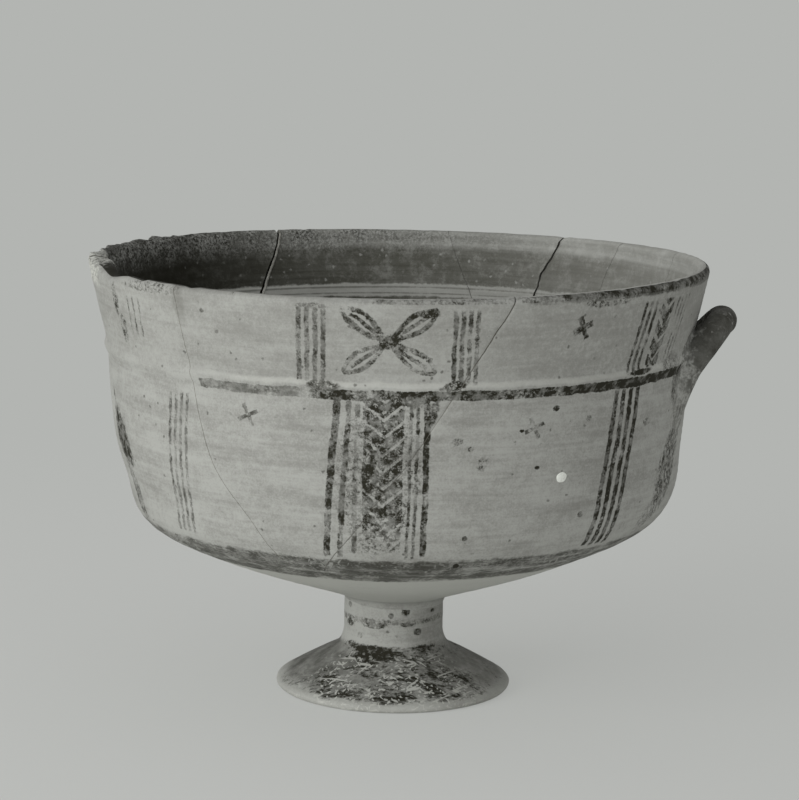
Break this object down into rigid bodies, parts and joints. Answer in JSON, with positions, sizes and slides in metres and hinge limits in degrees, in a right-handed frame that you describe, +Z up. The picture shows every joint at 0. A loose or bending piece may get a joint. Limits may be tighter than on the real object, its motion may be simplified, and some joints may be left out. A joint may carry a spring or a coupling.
{
  "type": "footed bowl",
  "caption": "Mended painted earthenware bowl with a flaring wall, a raised ridge, a loop handle and a stemmed, flared foot, made to hold food or drink.",
  "frame": {"origin": "on the table under the middle of the bowl and handle taken together", "axes": "+Z up, +X from the bowl's axis towards the handle, -Y towards the viewer of the decorated front"},
  "size_m": [0.2662, 0.2556, 0.1822],
  "materials": {
    "slipped_ware": "matt slip with worn dark painted ornament",
    "painted_foot": "matt dark paint, scratched and worn through to pale clay",
    "painted_handle": "matt dark paint, worn",
    "clay_luting": "bare fired slip",
    "mending_glue": "dull, slightly translucent",
    "plaster": "matt white"
  },
  "bodies": {
    "root": {"wall_sherd_right_rear": "slipped_ware", "wall_sherd_rear_right": "slipped_ware", "wall_sherd_rear": "slipped_ware", "wall_sherd_rear_left": "slipped_ware", "wall_sherd_left": "slipped_ware", "wall_sherd_front_left": "slipped_ware", "wall_sherd_front": "slipped_ware", "wall_sherd_right": "slipped_ware", "floor_sherd": "slipped_ware", "pedestal_foot": "painted_foot", "foot_luting": "clay_luting", "handle_loop": "painted_handle", "handle_collar_near": "painted_handle", "handle_collar_far": "painted_handle", "plaster_plug": "plaster", "glue_right": "mending_glue", "glue_right_rear": "mending_glue", "glue_rear_right": "mending_glue", "glue_rear": "mending_glue", "glue_rear_left": "mending_glue", "glue_left": "mending_glue", "glue_front_left": "mending_glue", "glue_front": "mending_glue", "glue_floor": "mending_glue"}
  },
  "joints": []
}
